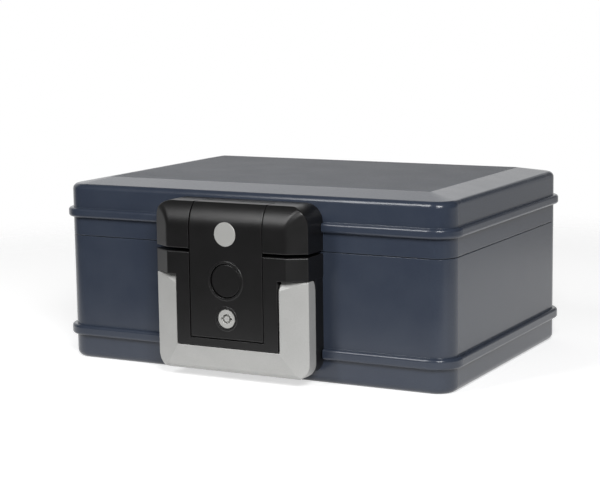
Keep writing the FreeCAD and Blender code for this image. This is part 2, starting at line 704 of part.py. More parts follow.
def lock_base():
    """The black base on the body: a bridge over the handle, a block round the hasp's bay
    and a plate behind the handle."""
    bridge = lock_plan(BRIDGE_Z, BASE_TOP_Z)
    shown = [edge for edge in edges_in_front(bridge, BASE_EDGE_R)
             if edge.CenterOfMass.z > BRIDGE_Z + TOUCH]
    bridge = bridge.makeFillet(BASE_EDGE_R, shown)
    middle = block(-BLOCK_HALF, BLOCK_HALF, out(0), out(LOCK_OUT), BLOCK_Z, BRIDGE_Z)
    half = LOCK_HALF - BASE_PLATE_INSET
    corners = [(-half, BASE_PLATE_Z, BASE_PLATE_CORNER_R), (half, BASE_PLATE_Z, BASE_PLATE_CORNER_R),
               (half, BRIDGE_Z, 0), (-half, BRIDGE_Z, 0)]
    base = joined([bridge, middle, front_prism(corners, 0, BASE_PLATE_OUT)])
    base = base.cut(block(-HASP_BAY_HALF, HASP_BAY_HALF, out(BASE_BACK_T), out(LOCK_OUT + OVER),
                          HASP_BAY_Z, BASE_TOP_Z + OVER))
    swept = math.sqrt(CAM_SWEEP_R ** 2 - (KEY_Z - HASP_BAY_Z) ** 2)
    base = base.cut(block(-CAM_W / 2 - CAM_SLOT_GAP, swept + CAM_SLOT_GAP, out(CAM_BACK_OUT - CAM_SLOT_GAP),
                          out(CAM_FRONT_OUT + CAM_SLOT_GAP), CAM_SLOT_Z, HASP_BAY_Z + OVER))
    for hollow in base_hollows():
        base = base.cut(hollow)
    for hole in handle_pin_rods(SEAT_GAP / 2):
        base = base.cut(hole)
    return drilled(base, base_screw_places())


def base_hollows():
    """Moulded hollows in the back of the lock base, behind the handle and in the bridge."""
    side = LOCK_HALF - BASE_PLATE_INSET - BASE_WALL
    behind_arm = block(BLOCK_HALF + BASE_WALL, side, out(-OVER), out(BASE_PLATE_OUT - BASE_WALL),
                       BASE_PLATE_Z + BASE_PLATE_CORNER_R, BRIDGE_Z - BASE_WALL)
    in_bridge = block(HASP_BAY_HALF + BASE_WALL, side, out(-OVER), out(LOCK_EDGE_OUT - BASE_WALL),
                      BRIDGE_Z + BASE_WALL, BASE_TOP_Z - BASE_WALL)
    behind_bar = block(-BLOCK_HALF, BLOCK_HALF, out(-OVER), out(BASE_PLATE_OUT - BASE_WALL),
                       BASE_PLATE_Z + BASE_WALL, CAM_SLOT_Z - BASE_WALL)
    return both_sides(behind_arm) + both_sides(in_bridge) + [behind_bar]


def handle_pin_rods(gap):
    """The two handle pins, or the holes for them."""
    y = out(PIVOT_OUT)
    start = vector(HASP_BAY_HALF + HANDLE_PIN_WALL - gap, y, PIVOT_Z)
    end = vector(HANDLE_INNER_X + HANDLE_PIN_IN_ARM + gap, y, PIVOT_Z)
    return both_sides(rod(HANDLE_PIN_R + gap, start, end))


def facet_tool():
    """Cuts the sloping facet at the top of an arm, which lets the handle swing up."""
    low_front = vector(HANDLE_INNER_X, out(HANDLE_FLAT_OUT), PIVOT_Z + FACET_RISE)
    top_inner = vector(HANDLE_INNER_X, out(PIVOT_OUT + FACET_TOP_OUT), HANDLE_TOP_Z)
    top_outer = vector(LOCK_HALF, out(LOCK_EDGE_OUT), HANDLE_TOP_Z)
    middle = (low_front + top_inner + top_outer) * (1 / 3)
    wide = [middle + (spot - middle) * SPREAD for spot in (low_front, top_inner, top_outer)]
    normal = (top_outer - low_front).cross(top_inner - low_front).normalize()
    return Part.Face(Part.makePolygon(wide + [wide[0]])).extrude(normal * LOCK_OUT)


def carry_handle():
    """The silver U-shaped handle, which hangs from its two arms and swings up in front."""
    flat = HANDLE_FLAT_OUT
    u_corners = [(-LOCK_HALF, HANDLE_Z, HANDLE_CORNER_R), (LOCK_HALF, HANDLE_Z, HANDLE_CORNER_R),
                 (LOCK_HALF, HANDLE_TOP_Z, 0), (HANDLE_INNER_X, HANDLE_TOP_Z, 0),
                 (HANDLE_INNER_X, HANDLE_BAR_TOP_Z, 0), (-HANDLE_INNER_X, HANDLE_BAR_TOP_Z, 0),
                 (-HANDLE_INNER_X, HANDLE_TOP_Z, 0), (-LOCK_HALF, HANDLE_TOP_Z, 0)]
    handle = front_prism(u_corners, HANDLE_BACK_OUT, flat)
    crease = HANDLE_INNER_X - HANDLE_CREASE_IN
    section = [(-LOCK_HALF, HANDLE_BACK_OUT, 0), (-LOCK_HALF, LOCK_EDGE_OUT, 0),
               (-crease, flat, 0), (crease, flat, 0),
               (LOCK_HALF, LOCK_EDGE_OUT, 0), (LOCK_HALF, HANDLE_BACK_OUT, 0)]
    handle = handle.common(plan_prism(section, HANDLE_Z, HANDLE_TOP_Z))
    lean = HANDLE_BAR_LEAN / HANDLE_BAR_H
    profile = [(HANDLE_BACK_OUT, HANDLE_Z, 0), (flat - HANDLE_BAR_LEAN, HANDLE_Z, HANDLE_BAR_ROUND),
               (flat + lean * (HANDLE_TOP_Z - HANDLE_BAR_TOP_Z), HANDLE_TOP_Z, 0),
               (HANDLE_BACK_OUT, HANDLE_TOP_Z, 0)]
    handle = handle.common(side_prism(profile, LOCK_HALF))
    for facet in both_sides(facet_tool()):
        handle = handle.cut(facet)
    y = out(PIVOT_OUT)
    heel = block(-LOCK_HALF, LOCK_HALF, y, out(HANDLE_BACK_OUT - OVER), PIVOT_Z, HANDLE_TOP_Z + OVER)
    round_heel = rod(HEEL_R, vector(-LOCK_HALF, y, PIVOT_Z), vector(LOCK_HALF, y, PIVOT_Z))
    handle = handle.cut(heel.cut(round_heel)).removeSplitter()
    shown = edges_in_front(handle, HANDLE_BACK_OUT + HEEL_GAP + HANDLE_EDGE_R)
    handle = handle.makeFillet(HANDLE_EDGE_R, sharp_edges(handle, shown))
    for hollow in handle_hollows():
        handle = handle.cut(hollow)
    for hole in handle_pin_rods(PIN_PLAY):
        handle = handle.cut(hole)
    return handle.removeSplitter()


def handle_hollows():
    """Moulded hollows in the back of the handle's arms and bar."""
    inner = HANDLE_INNER_X + HANDLE_POCKET_WALL
    outer = LOCK_HALF - HANDLE_POCKET_WALL
    low = HANDLE_Z + HANDLE_CORNER_R
    deep = LOCK_EDGE_OUT - HANDLE_POCKET_WALL
    arm = block(inner, outer, out(HANDLE_BACK_OUT - OVER), out(deep), low, PIVOT_Z - HANDLE_POCKET_DROP)
    bar = block(-inner, inner, out(HANDLE_BACK_OUT - OVER), out(deep),
                HANDLE_Z + HANDLE_POCKET_WALL, HANDLE_BAR_TOP_Z - HANDLE_POCKET_WALL)
    return both_sides(arm) + [bar]


def hasp_plate():
    """The hasp: a hollow plate with a rolled top that turns on the hasp pin."""
    hasp = rolled_prism(HASP_BACK_OUT, HASP_Z, 0, HASP_HALF)
    hasp = hasp.makeFillet(HASP_EDGE_R, edges_in_front(hasp, HASP_BACK_OUT + HASP_EDGE_R))
    inner = HASP_HALF - HASP_SIDE_T
    behind = HASP_BACK_OUT - OVER
    hasp = hasp.cut(block(-inner, inner, out(behind), out(LOCK_OUT - HASP_SKIN),
                          HASP_Z + HASP_SIDE_T, BACK_PLATE_TOP_Z))
    hasp = hasp.cut(rolled_prism(behind, BACK_PLATE_TOP_Z + HASP_SIDE_T, HASP_SKIN, HASP_HALF - HASP_WEB_T))
    in_skin = out(LOCK_OUT - HASP_SKIN / 2)
    bosses = [rod(BOSS_R, seat + inward * (BACK_PLATE_T + SEAT_GAP), vector(seat.x, in_skin, seat.z))
              for seat, inward, length in hasp_screw_places()]
    rims = [raised_rim(BUTTON_Z, BUTTON_R + BUTTON_GAP), raised_rim(KEY_Z, KEY_FACE_R + KEY_FACE_GAP)]
    hasp = joined([hasp] + bosses + rims)
    hasp = hasp.cut(hasp_axis_rod(HASP_PIN_R + PIN_PLAY, -HASP_HALF - OVER, HASP_HALF + OVER))
    past = LOCK_OUT + OVER
    hasp = hasp.cut(front_rod(BADGE_R + SEAT_GAP, BADGE_Z, LOCK_OUT + BADGE_PROUD - BADGE_T, past))
    hasp = hasp.cut(front_rod(BUTTON_R + BUTTON_GAP, BUTTON_Z, HASP_BACK_OUT, past))
    hasp = hasp.cut(front_rod(KEY_FACE_R + KEY_FACE_GAP, KEY_Z, KEY_FACE_OUT - KEY_FACE_T, past))
    hasp = hasp.cut(front_rod(KEY_BODY_R + SEAT_GAP, KEY_Z, HASP_BACK_OUT, past))
    return drilled(hasp, hasp_screw_places())


def raised_rim(z, hole_r):
    """A low round rim on the hasp's face, round a hole."""
    face = LOCK_OUT + RIM_PROUD
    rim = front_rod(hole_r + RIM_W, z, LOCK_OUT - HASP_SKIN / 2, face)
    return rim.makeFillet(RIM_PROUD, face_rim(rim, face))


def hasp_back_plate():
    """The plate that closes the hasp, with a grooved collar that the catch grips."""
    half = HASP_HALF - HASP_SIDE_T - SEAT_GAP
    front = BACK_PLATE_FRONT_OUT
    plate = block(-half, half, out(BACK_PLATE_OUT), out(front),
                  HASP_Z + HASP_SIDE_T + SEAT_GAP, BACK_PLATE_TOP_Z - SEAT_GAP)
    bore = STEM_R + RUNNING_GAP
    collar_end = STEM_END_OUT
    neck = front_rod(bore + COLLAR_T, BUTTON_Z, collar_end, front)
    flange = front_rod(COLLAR_FLANGE_R, BUTTON_Z, collar_end, collar_end + COLLAR_FLANGE_T)
    plate = joined([plate, neck, flange])
    plate = plate.cut(front_rod(bore, BUTTON_Z, collar_end - OVER, front + OVER))
    plate = plate.cut(front_rod(PLUG_TAIL_R + RUNNING_GAP, KEY_Z, BACK_PLATE_OUT - OVER, front + OVER))
    return drilled(plate, hasp_screw_places())


def badge_disc():
    """The bare round badge, set into the hasp."""
    face = LOCK_OUT + BADGE_PROUD
    disc = front_rod(BADGE_R, BADGE_Z, face - BADGE_T, face)
    return disc.makeFillet(BADGE_EDGE_R, face_rim(disc, face))


def release_button():
    """The push button, with a flange behind the hasp's skin and a stem for the catch."""
    face = LOCK_OUT - BUTTON_SINK
    flange_front = LOCK_OUT - HASP_SKIN - RUNNING_GAP
    cap = front_rod(BUTTON_R, BUTTON_Z, BUTTON_BACK_OUT, face)
    cap = cap.makeFillet(BUTTON_EDGE_R, face_rim(cap, face))
    flange = front_rod(BUTTON_FLANGE_R, BUTTON_Z, BUTTON_BACK_OUT, flange_front)
    stem = front_rod(STEM_R, BUTTON_Z, STEM_END_OUT, BUTTON_BACK_OUT + OVER)
    return joined([cap, flange, stem])


def button_spring():
    """The coil spring round the button's stem, between the back plate and the flange."""
    start = BACK_PLATE_FRONT_OUT + SPRING_WIRE_R + SEAT_GAP
    end = BUTTON_BACK_OUT - SPRING_WIRE_R - SEAT_GAP
    height = end - start
    coil = Part.makeHelix(height / SPRING_TURNS, height, SPRING_R)
    wire_round = Part.makeCircle(SPRING_WIRE_R, vector(SPRING_R, 0, 0), vector(0, 1, 0))
    spring = Part.Wire(coil.Edges).makePipeShell([Part.Wire([wire_round])], True, True)
    spring.rotate(vector(0, 0, 0), vector(1, 0, 0), 90)
    spring.translate(vector(0, out(start), BUTTON_Z))
    return Part.Solid(spring) if spring.ShapeType == "Shell" else spring


def ribbon(points):
    """A bent strip of the catch, through points of (x, distance out)."""
    low = BUTTON_Z - CLIP_H / 2
    high = BUTTON_Z + CLIP_H / 2
    pieces = []
    for start, end in zip(points, points[1:]):
        along = vector(end[0] - start[0], end[1] - start[1], 0).normalize() * (CLIP_T / 2)
        across = vector(-along.y, along.x, 0)
        corners = [vector(*start, 0) + across, vector(*end, 0) + across,
                   vector(*end, 0) - across, vector(*start, 0) - across]
        pieces.append(plan_prism([(spot.x, spot.y, 0) for spot in corners], low, high))
    for x, p in points[1:-1]:
        pieces.append(rod(CLIP_T / 2, vector(x, out(p), low), vector(x, out(p), high)))
    return joined(pieces)


def catch_clip():
    """The spring-steel catch: two leaves whose barbs grip the hasp's collar, and a tab on
    each that the button's stem presses back to spread them."""
    foot = BASE_BACK_T + CLIP_T / 2
    flange_front = STEM_END_OUT + COLLAR_FLANGE_T
    barb_front = flange_front + RUNNING_GAP + CLIP_T
    leaf = ribbon([(CLIP_LEAF_X + CLIP_FOOT_W, foot), (CLIP_LEAF_X, foot), (CLIP_LEAF_X, barb_front),
                   (CLIP_LEAF_X - CLIP_BARB_W, barb_front - CLIP_T / 4)])
    tab = ribbon([(CLIP_LEAF_X, foot + CLIP_T), (CLIP_TAB_TIP_X, STEM_END_OUT - RUNNING_GAP - CLIP_T)])
    bridge = ribbon([(CLIP_LEAF_X, foot), (-CLIP_LEAF_X, foot)])
    return joined(both_sides(leaf) + both_sides(tab) + [bridge])


def lock_cylinder():
    """The fixed body of the key lock: a round face with a ring-shaped keyway."""
    face = KEY_FACE_OUT
    back = KEY_BACK_OUT
    cylinder = joined([front_rod(KEY_FACE_R, KEY_Z, face - KEY_FACE_T, face),
                       front_rod(KEY_BODY_R, KEY_Z, back, face - KEY_FACE_T)])
    cylinder = cylinder.cut(front_rod(KEYWAY_R, KEY_Z, back - OVER, face + OVER))
    half = KEY_NOTCH_W / 2
    notch = block(0, KEYWAY_R + KEY_NOTCH_OUT, out(face - KEYWAY_DEPTH), out(face + OVER),
                  KEY_Z - half, KEY_Z + half)
    for cut in both_sides(notch):
        cylinder = cylinder.cut(cut)
    return cylinder


def lock_nut():
    """The hexagon nut that holds the key lock behind the hasp's skin."""
    radius = NUT_ACROSS / 2 / math.cos(math.pi / NUT_SIDES)
    turns = [2 * math.pi * side / NUT_SIDES for side in range(NUT_SIDES)]
    corners = [(radius * math.cos(turn), KEY_Z + radius * math.sin(turn), 0) for turn in turns]
    front = LOCK_OUT - HASP_SKIN
    nut = front_prism(corners, front - NUT_T, front)
    return nut.cut(front_rod(KEY_BODY_R + SEAT_GAP / 2, KEY_Z, front - NUT_T - OVER, front + OVER))


def lock_plug():
    """The part of the key lock that the key turns, with a post inside the keyway."""
    face = KEY_FACE_OUT
    step = face - KEYWAY_DEPTH
    back = KEY_BACK_OUT
    post = front_rod(KEY_POST_R, KEY_Z, step - OVER, face)
    barrel = front_rod(KEYWAY_R - PIN_PLAY, KEY_Z, back, step)
    tail = front_rod(PLUG_TAIL_R, KEY_Z, CAM_FRONT_OUT, back + OVER)
    return drilled(joined([post, barrel, tail]), [cam_screw_place()])


def lock_cam():
    """The locking arm on the plug: level when open, and down in the base's slot when locked."""
    half = CAM_W / 2
    corners = [(-half, KEY_Z - half, CAM_END_R), (CAM_REACH, KEY_Z - half, CAM_END_R),
               (CAM_REACH, KEY_Z + half, CAM_END_R), (-half, KEY_Z + half, CAM_END_R)]
    return drilled(front_prism(corners, CAM_BACK_OUT, CAM_FRONT_OUT), [cam_screw_place()])


def cam_screw_place():
    """The screw that holds the cam on the plug."""
    return vector(0, out(CAM_BACK_OUT), KEY_Z), vector(0, -1, 0), CAM_T + SCREW_BITE


def screw_group(places):
    """A group of equal screws."""
    return Part.makeCompound([screw(*place) for place in places])


def parts():
    """Every piece of the box, by name."""
    pieces = {
        "body_shell": body_shell(),
        "body_liner": body_liner(),
        "body_insulation": body_insulation(),
        "lock_base": lock_base(),
        "lock_base_screws": screw_group(base_screw_places()),
        "catch_clip": catch_clip(),
        "handle_pins": Part.makeCompound(handle_pin_rods(0)),
        "hinge_lower_screws": screw_group(lower_hinge_places()),
        "lid_shell": lid_shell(),
        "lid_liner": lid_liner(),
        "lid_insulation": lid_insulation(),
        "lid_seal": lid_seal(),
        "latch_cover": latch_cover(),
        "latch_cover_screws": screw_group(cover_screw_places()),
        "hasp_pin": hasp_pin(),
        "hinge_upper_screws": screw_group(upper_hinge_places()),
        "hasp_plate": hasp_plate(),
        "hasp_back_plate": hasp_back_plate(),
        "hasp_screws": screw_group(hasp_screw_places()),
        "badge_disc": badge_disc(),
        "lock_cylinder": lock_cylinder(),
        "lock_nut": lock_nut(),
        "lock_plug": lock_plug(),
        "lock_cam": lock_cam(),
        "cam_screw": screw(*cam_screw_place()),
        "release_button": release_button(),
        "button_spring": button_spring(),
        "carry_handle": carry_handle(),
    }
    for side, x in (("left", -HINGE_X), ("right", HINGE_X)):
        pieces["hinge_lower_leaf_" + side] = hinge_lower_leaf(x)
        pieces["hinge_upper_leaf_" + side] = hinge_upper_leaf(x)
        pieces["hinge_pin_" + side] = hinge_pin(x)
    return pieces


os.makedirs("parts", exist_ok=True)
for name, shape in parts().items():
    shape.exportStep("parts/" + name + ".step")
    print(name, len(shape.Solids), "solids", round(shape.Volume), "mm3", shape.isValid())
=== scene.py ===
import json
import math
import bpy
from mathutils import Euler, Matrix, Vector


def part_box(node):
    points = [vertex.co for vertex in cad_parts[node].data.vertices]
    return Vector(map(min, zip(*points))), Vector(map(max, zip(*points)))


# Fireproof box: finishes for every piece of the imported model, a pale floor, soft studio
# light and a camera at the photograph's viewing angle. Metres, in the model's own frame.

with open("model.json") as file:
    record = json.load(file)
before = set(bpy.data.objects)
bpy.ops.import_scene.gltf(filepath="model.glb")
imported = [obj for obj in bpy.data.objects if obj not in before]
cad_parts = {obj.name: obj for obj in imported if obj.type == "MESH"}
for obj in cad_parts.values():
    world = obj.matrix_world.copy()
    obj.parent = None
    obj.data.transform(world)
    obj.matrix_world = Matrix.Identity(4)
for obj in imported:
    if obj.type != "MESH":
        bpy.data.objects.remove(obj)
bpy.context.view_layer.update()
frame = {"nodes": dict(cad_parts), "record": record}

# Sizes that the finishes share with the model
MM = 0.001
PANEL_INSET = 28 * MM
PANEL_EDGE_SOFT = 0.8 * MM
PANEL_FROM = 0.6 * MM
PANEL_FULL = 0.2 * MM
RIB_OUT = 4.2 * MM
SHELL_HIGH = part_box("body_shell")[1]
SHELL_HALF_W = SHELL_HIGH.x - RIB_OUT
SHELL_HALF_D = SHELL_HIGH.y - RIB_OUT
LID_TOP_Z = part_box("lid_shell")[1].z

# Camera: its place, the way it points and its lens
CAMERA_PLACE = (0.677, -1.3058, 0.3177)
CAMERA_TURN = math.radians(28.0)
CAMERA_TILT = math.radians(8.56)
CAMERA_ROLL = math.radians(-0.78)
CAMERA_LENS = 100.6
CAMERA_SENSOR = 36.0

# Studio: lamps as (name, direction from the box, distance, width, height, power in watts)
LAMPS = (
    ("left_softbox", (-0.29, -0.75, 0.59), 1.6, 0.32, 0.8, 9.8),
    ("right_softbox", (0.50, -0.70, 0.50), 1.6, 0.55, 0.55, 17.5),
)
LAMP_AIM = (0.0, 0.0, 0.08)

# Studio round the box, by direction: a white backdrop behind, lower on the right, a pale screen
# high behind on the left, and dim elsewhere
BACKDROP_LEFT = 0.88
BACKDROP_RIGHT = 0.56
DIM_LEVEL = 0.06
BACKDROP_FROM = -0.25
BACKDROP_TO = 0.25
BACKDROP_SLANT = 0.4
BACKDROP_TOP = 0.22
CEILING_FROM = 0.45
SCREEN_TOWARD = (-0.5, 0.72, 0.47)
SCREEN_LEVEL = 0.35
SCREEN_EDGE = math.cos(math.radians(26.0))
SCREEN_FULL = math.cos(math.radians(8.0))

# Floor: its size, where it fades into the backdrop, and how far reflections dim it toward the front
FLOOR_SIDES = 96
FLOOR_RADIUS = 0.95
FLOOR_FADE_FROM = 0.55
FLOOR_WHITE = 0.72
FLOOR_LIFT = 0.62
FRONT_DIM_SLANT = 0.15
FRONT_DIM_FROM = 0.15
FRONT_DIM_TO = 0.44
FRONT_DIM = 0.95

# Sockets of the Mix node in its colour form, and the bevel samples that find edges
MIX_A = 6
MIX_B = 7
MIX_OUT = 2
EDGE_SAMPLES = 4
EDGE_FLAT = 0.998
EDGE_SHARP = 0.86

# Noise: the part of its range that shows, and how rounded pebbles are
NOISE_LOW = 0.3
NOISE_MIDDLE = 0.5
NOISE_HIGH = 0.7
PEBBLE_SMOOTH = 0.6

# Screen colours: 0 to 255 steps, and the curve from them to linear values
STEPS = 255
CURVE_START = 0.04045
CURVE_SLOPE = 12.92
CURVE_SHIFT = 0.055
CURVE_POWER = 2.4
WHITE = (1.0, 1.0, 1.0, 1.0)

# Shell: satin walls and a pebbled panel; edges painted lighter as wear and painted highlight, pebble
# hollows painted darker as painted shade
SHELL_DARK = (48, 55, 69)
SHELL_LIGHT = (54, 61, 74)
SHELL_WORN_HIGHLIT = (98, 108, 122)
PEBBLE_LIT = (60, 68, 82)
PEBBLE_SHADED = (43, 50, 62)
SHELL_CLOUD = 30 * MM
SHELL_GRAIN = 0.9 * MM
SHELL_CLOUD_SHARE = 0.6
SHELL_EDGE = 0.8 * MM
SHELL_WEAR_AND_HIGHLIGHT = 0.3
SHELL_ROUGH = 0.22
SHELL_ROUGH_CLOUD = 0.08
SHELL_ROUGH_GRAIN = 0.05
PANEL_ROUGH = 0.26
PEBBLE_SIZE = 1.5 * MM
PEBBLE_INNER = 0.1
PEBBLE_OUTER = 0.6
SHELL_RELIEF = 0.16 * MM
WALL_RELIEF_SHARE = 0.12

# Moulded plastic of the lock and the liners, with edges painted lighter as wear and painted highlight
LOCK_DARK = (14, 14, 14)
LOCK_LIGHT = (17, 16, 17)
LOCK_WORN_HIGHLIT = (70, 69, 70)
LOCK_ROUGH = 0.36
LOCK_GRAIN = 0.5 * MM
LINER_DARK = (60, 62, 65)
LINER_LIGHT = (70, 72, 75)
LINER_WORN_HIGHLIT = (98, 100, 103)
LINER_ROUGH = 0.55
LINER_GRAIN = 0.8 * MM
PLASTIC_CLOUD = 18 * MM
PLASTIC_CLOUD_SHARE = 0.5
PLASTIC_EDGE = 0.7 * MM
PLASTIC_WEAR_AND_HIGHLIGHT = 0.3
PLASTIC_ROUGH_CLOUD = 0.10
PLASTIC_ROUGH_GRAIN = 0.08
PLASTIC_RELIEF = 0.03 * MM

# Silver paint of the handle, with edges painted brighter as wear and painted highlight
HANDLE_DARK = (172, 172, 170)
HANDLE_LIGHT = (186, 186, 184)
HANDLE_WORN_HIGHLIT = (226, 226, 224)
HANDLE_CLOUD = 25 * MM
HANDLE_FLAKES = 0.35 * MM
HANDLE_FLAKES_SHARE = 0.7
HANDLE_EDGE = 0.8 * MM
HANDLE_WEAR_AND_HIGHLIGHT = 0.4
HANDLE_ROUGH = 0.50
HANDLE_ROUGH_FLAKES = 0.10
HANDLE_ROUGH_CLOUD = 0.05
HANDLE_METAL = 0.3
HANDLE_RELIEF = 0.015 * MM

# Turned silver of the badge and the key lock, with edges painted lighter as wear and painted highlight
DISC_DARK = (196, 196, 193)
DISC_LIGHT = (208, 208, 205)
DISC_WORN_HIGHLIT = (232, 232, 230)
DISC_RING = 0.45 * MM
DISC_GRAIN = 0.6 * MM
DISC_EDGE = 0.4 * MM
DISC_WEAR_AND_HIGHLIGHT = 0.4
DISC_ROUGH = 0.36
DISC_ROUGH_RINGS = 0.04
DISC_ROUGH_GRAIN = 0.06
DISC_METAL = 0.5
DISC_RELIEF = 0.006 * MM

# Plated steel of pins, screws and springs, with edges painted lighter as wear and painted highlight
STEEL_DARK = (176, 177, 180)
STEEL_LIGHT = (198, 199, 201)
STEEL_WORN_HIGHLIT = (222, 223, 225)
STEEL_CLOUD = 4 * MM
STEEL_GRAIN = 0.4 * MM
STEEL_EDGE = 0.3 * MM
STEEL_WEAR_AND_HIGHLIGHT = 0.5
STEEL_ROUGH = 0.30
STEEL_ROUGH_CLOUD = 0.12
STEEL_ROUGH_GRAIN = 0.05
STEEL_METAL = 1.0
STEEL_RELIEF = 0.01 * MM

# Coated steel of the hinges
COAT_DARK = (38, 41, 45)
COAT_LIGHT = (46, 49, 53)
COAT_BARE = (140, 141, 143)
COAT_PEEL = 1.1 * MM
COAT_CLOUD = 12 * MM
COAT_EDGE = 0.5 * MM
COAT_WEAR = 0.6
COAT_WEAR_FROM = 0.35
COAT_WEAR_TO = 0.65
COAT_ROUGH = 0.46
COAT_ROUGH_PEEL = 0.10
COAT_RELIEF = 0.04 * MM

# Set insulation, with pores painted darker as painted shade
FILL_DARK = (206, 202, 194)
FILL_LIGHT = (222, 219, 212)
FILL_PORE_SHADE = (168, 163, 154)
FILL_PORE = 2.2 * MM
FILL_PORE_FROM = 0.45
FILL_PORE_TO = 0.7
FILL_CLOUD = 14 * MM
FILL_EDGE = 0.5 * MM
FILL_ROUGH = 0.85
FILL_ROUGH_CLOUD = 0.1
FILL_RELIEF = 0.2 * MM

# Sealing strip
SEAL_DARK = (34, 33, 33)
SEAL_LIGHT = (52, 51, 50)
SEAL_FIBRE = 0.5 * MM
SEAL_EDGE = 0.3 * MM
SEAL_ROUGH = 0.8
SEAL_ROUGH_FIBRE = 0.1
SEAL_RELIEF = 0.12 * MM


def colour(steps):
    """A colour written in the usual 0 to 255 steps, as the linear values that shaders use."""
    linear = []
    for step in steps:
        share = step / STEPS
        curved = ((share + CURVE_SHIFT) / (1 + CURVE_SHIFT)) ** CURVE_POWER
        linear.append(share / CURVE_SLOPE if share <= CURVE_START else curved)
    return (*linear, 1.0)


class Signal:
    """A shader socket in sums: each operator adds a Math node to the finish."""

    def __init__(self, finish, socket):
        self.finish = finish
        self.socket = socket

    def join(self, operation, first, second):
        return self.finish.node("ShaderNodeMath", {"operation": operation}, {0: first, 1: second})

    def __add__(self, other):
        return self.join("ADD", self, other)

    def __radd__(self, other):
        return self.join("ADD", other, self)

    def __sub__(self, other):
        return self.join("SUBTRACT", self, other)

    def __rsub__(self, other):
        return self.join("SUBTRACT", other, self)

    def __mul__(self, other):
        return self.join("MULTIPLY", self, other)

    def __rmul__(self, other):
        return self.join("MULTIPLY", other, self)

    def __pow__(self, other):
        return self.join("POWER", self, other)

    def __abs__(self):
        return self.join("ABSOLUTE", self, 0.0)

    def most(self, other):
        return self.join("MAXIMUM", self, other)


class Finish:
    """The node tree of a material, world or floor while it is made."""

    def __init__(self, owner):
        self.owner = owner
        owner.use_nodes = True
        self.tree = owner.node_tree
        self.tree.nodes.clear()

    def node(self, kind, settings, values, out=0):
        """Add a node: its settings come first, then a value or a link for each socket."""
        made = self.tree.nodes.new(kind)
        for name, setting in settings.items():
            setattr(made, name, setting)
        for name, value in values.items():
            if isinstance(value, Signal):
                self.tree.links.new(value.socket, made.inputs[name])
            else:
                made.inputs[name].default_value = value
        return Signal(self, made.outputs[out]) if len(made.outputs) else None

    def place(self):
        """The point on the piece, in the model's frame."""
        return self.node("ShaderNodeTexCoord", {}, {}, "Object")

    def axes(self, point):
        """The x, y and z of a point."""
        return [self.node("ShaderNodeSeparateXYZ", {}, {0: point}, axis) for axis in ("X", "Y", "Z")]

    def noise(self, size, detail):
        """Cloudy noise whose blots are about that size."""
        values = {"Vector": self.place(), "Scale": 1 / size, "Detail": detail}
        return self.node("ShaderNodeTexNoise", {}, values)

    def pebbles(self, size):
        """Rounded cells of that size: 0 in their middles, rising to their edges."""
        values = {"Vector": self.place(), "Scale": 1 / size, "Smoothness": PEBBLE_SMOOTH}
        return self.node("ShaderNodeTexVoronoi", {"feature": "SMOOTH_F1"}, values, "Distance")

    def span(self, value, low, high, to_low=0.0, to_high=1.0):
        """A value eased from one range to another."""
        values = {"Value": value, "From Min": low, "From Max": high, "To Min": to_low, "To Max": to_high}
        return self.node("ShaderNodeMapRange", {"interpolation_type": "SMOOTHSTEP"}, values)

    def mix(self, share, first, second):
        """A colour between two others."""
        values = {0: share, MIX_A: first, MIX_B: second}
        return self.node("ShaderNodeMix", {"data_type": "RGBA"}, values, MIX_OUT)

    def tones(self, noise, dark, light):
        """A colour that noise spreads between two tones."""
        return self.mix(self.span(noise, NOISE_LOW, NOISE_HIGH), colour(dark), colour(light))

    def varied(self, middle, *shares):
        """A value that noises push to both sides of a middle, each by its own amount."""
        for amount, noise in shares:
            middle = middle + amount * (noise - NOISE_MIDDLE)
        return middle

    def rounded(self, reach):
        """The normal of the surface if its edges were rounded to that reach."""
        return self.node("ShaderNodeBevel", {"samples": EDGE_SAMPLES}, {"Radius": reach})

    def edges(self, rounded):
        """1 along edges, and 0 on flats."""
        straight = self.node("ShaderNodeNewGeometry", {}, {}, "Normal")
        pair = {0: rounded, 1: straight}
        match = self.node("ShaderNodeVectorMath", {"operation": "DOT_PRODUCT"}, pair, "Value")
        return self.span(match, EDGE_FLAT, EDGE_SHARP)

    def worn_and_highlit(self, rounded, share, body, rubbed_and_highlit):
        """A colour that is lightened toward another along the edges: partly rubbed wear, partly painted
        highlight.
        """
        return self.mix(self.edges(rounded) * share, body, colour(rubbed_and_highlit))

    def bump(self, height, depth, rounded):
        """A normal that shows a height from 0 to 1 as relief of that depth, on rounded edges."""
        values = {"Height": height, "Distance": depth, "Normal": rounded}
        return self.node("ShaderNodeBump", {}, values, "Normal")

    def surface(self, **values):
        """Close the material with its shader."""
        named = {name.replace("_", " "): value for name, value in values.items()}
        shader = self.node("ShaderNodeBsdfPrincipled", {}, named)
        self.node("ShaderNodeOutputMaterial", {}, {"Surface": shader})
        return self.owner


def new_finish(name):
    """An empty material to build a finish in."""
    return Finish(bpy.data.materials.new(name))


